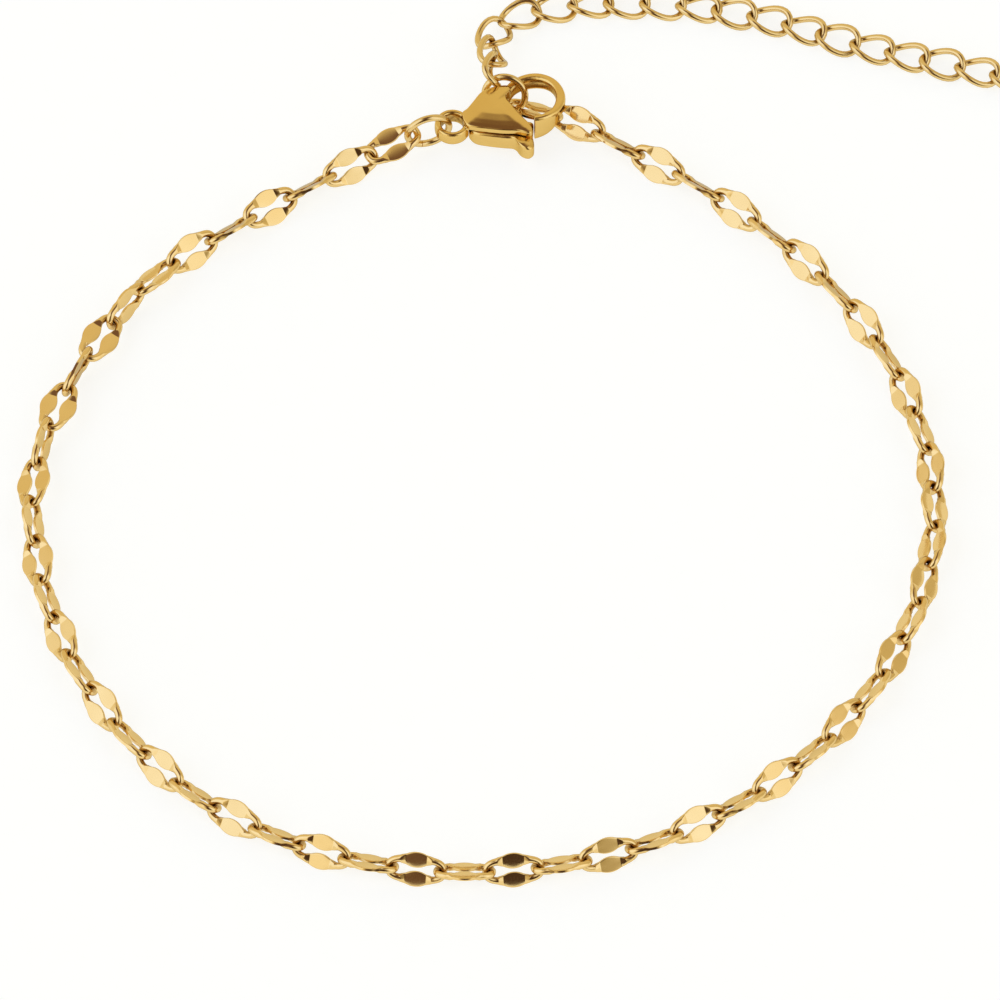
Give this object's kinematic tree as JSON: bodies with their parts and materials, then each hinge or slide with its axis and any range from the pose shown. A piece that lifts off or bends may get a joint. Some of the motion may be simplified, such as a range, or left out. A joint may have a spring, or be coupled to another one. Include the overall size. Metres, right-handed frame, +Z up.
{
  "type": "chain bracelet",
  "caption": "Gold-tone chain bracelet of oval links pressed into petal shapes, closed into an open loop by a lobster clasp, with a curb extension chain trailing from its end ring.",
  "frame": {"origin": "middle of the whole jewel's underside as it lies, on the table's surface", "axes": "+Z up from the table, +X along the jewel's longest way, in which the extension chain's free end runs, +Y across it, towards the clasp's side of the loop"},
  "size_m": [0.0694, 0.0632, 0.0033],
  "materials": {
    "gold_tone_metal": "polished gold-tone plate over stainless steel"
  },
  "bodies": {
    "bracelet": {"lip_chain": "gold_tone_metal", "extension_chain": "gold_tone_metal", "clasp_ring": "gold_tone_metal", "end_ring": "gold_tone_metal", "clasp_body": "gold_tone_metal"},
    "lever": {"clasp_lever": "gold_tone_metal"}
  },
  "joints": [
    {"name": "lever_hinge", "type": "hinge", "parent": "bracelet", "child": "lever", "pos_m": [-0.00893, 0.02081, 0.00168], "axis": [0, 0, 1], "range_deg": [0, 10], "stiffness_Nm_per_rad": 0.0005}
  ]
}
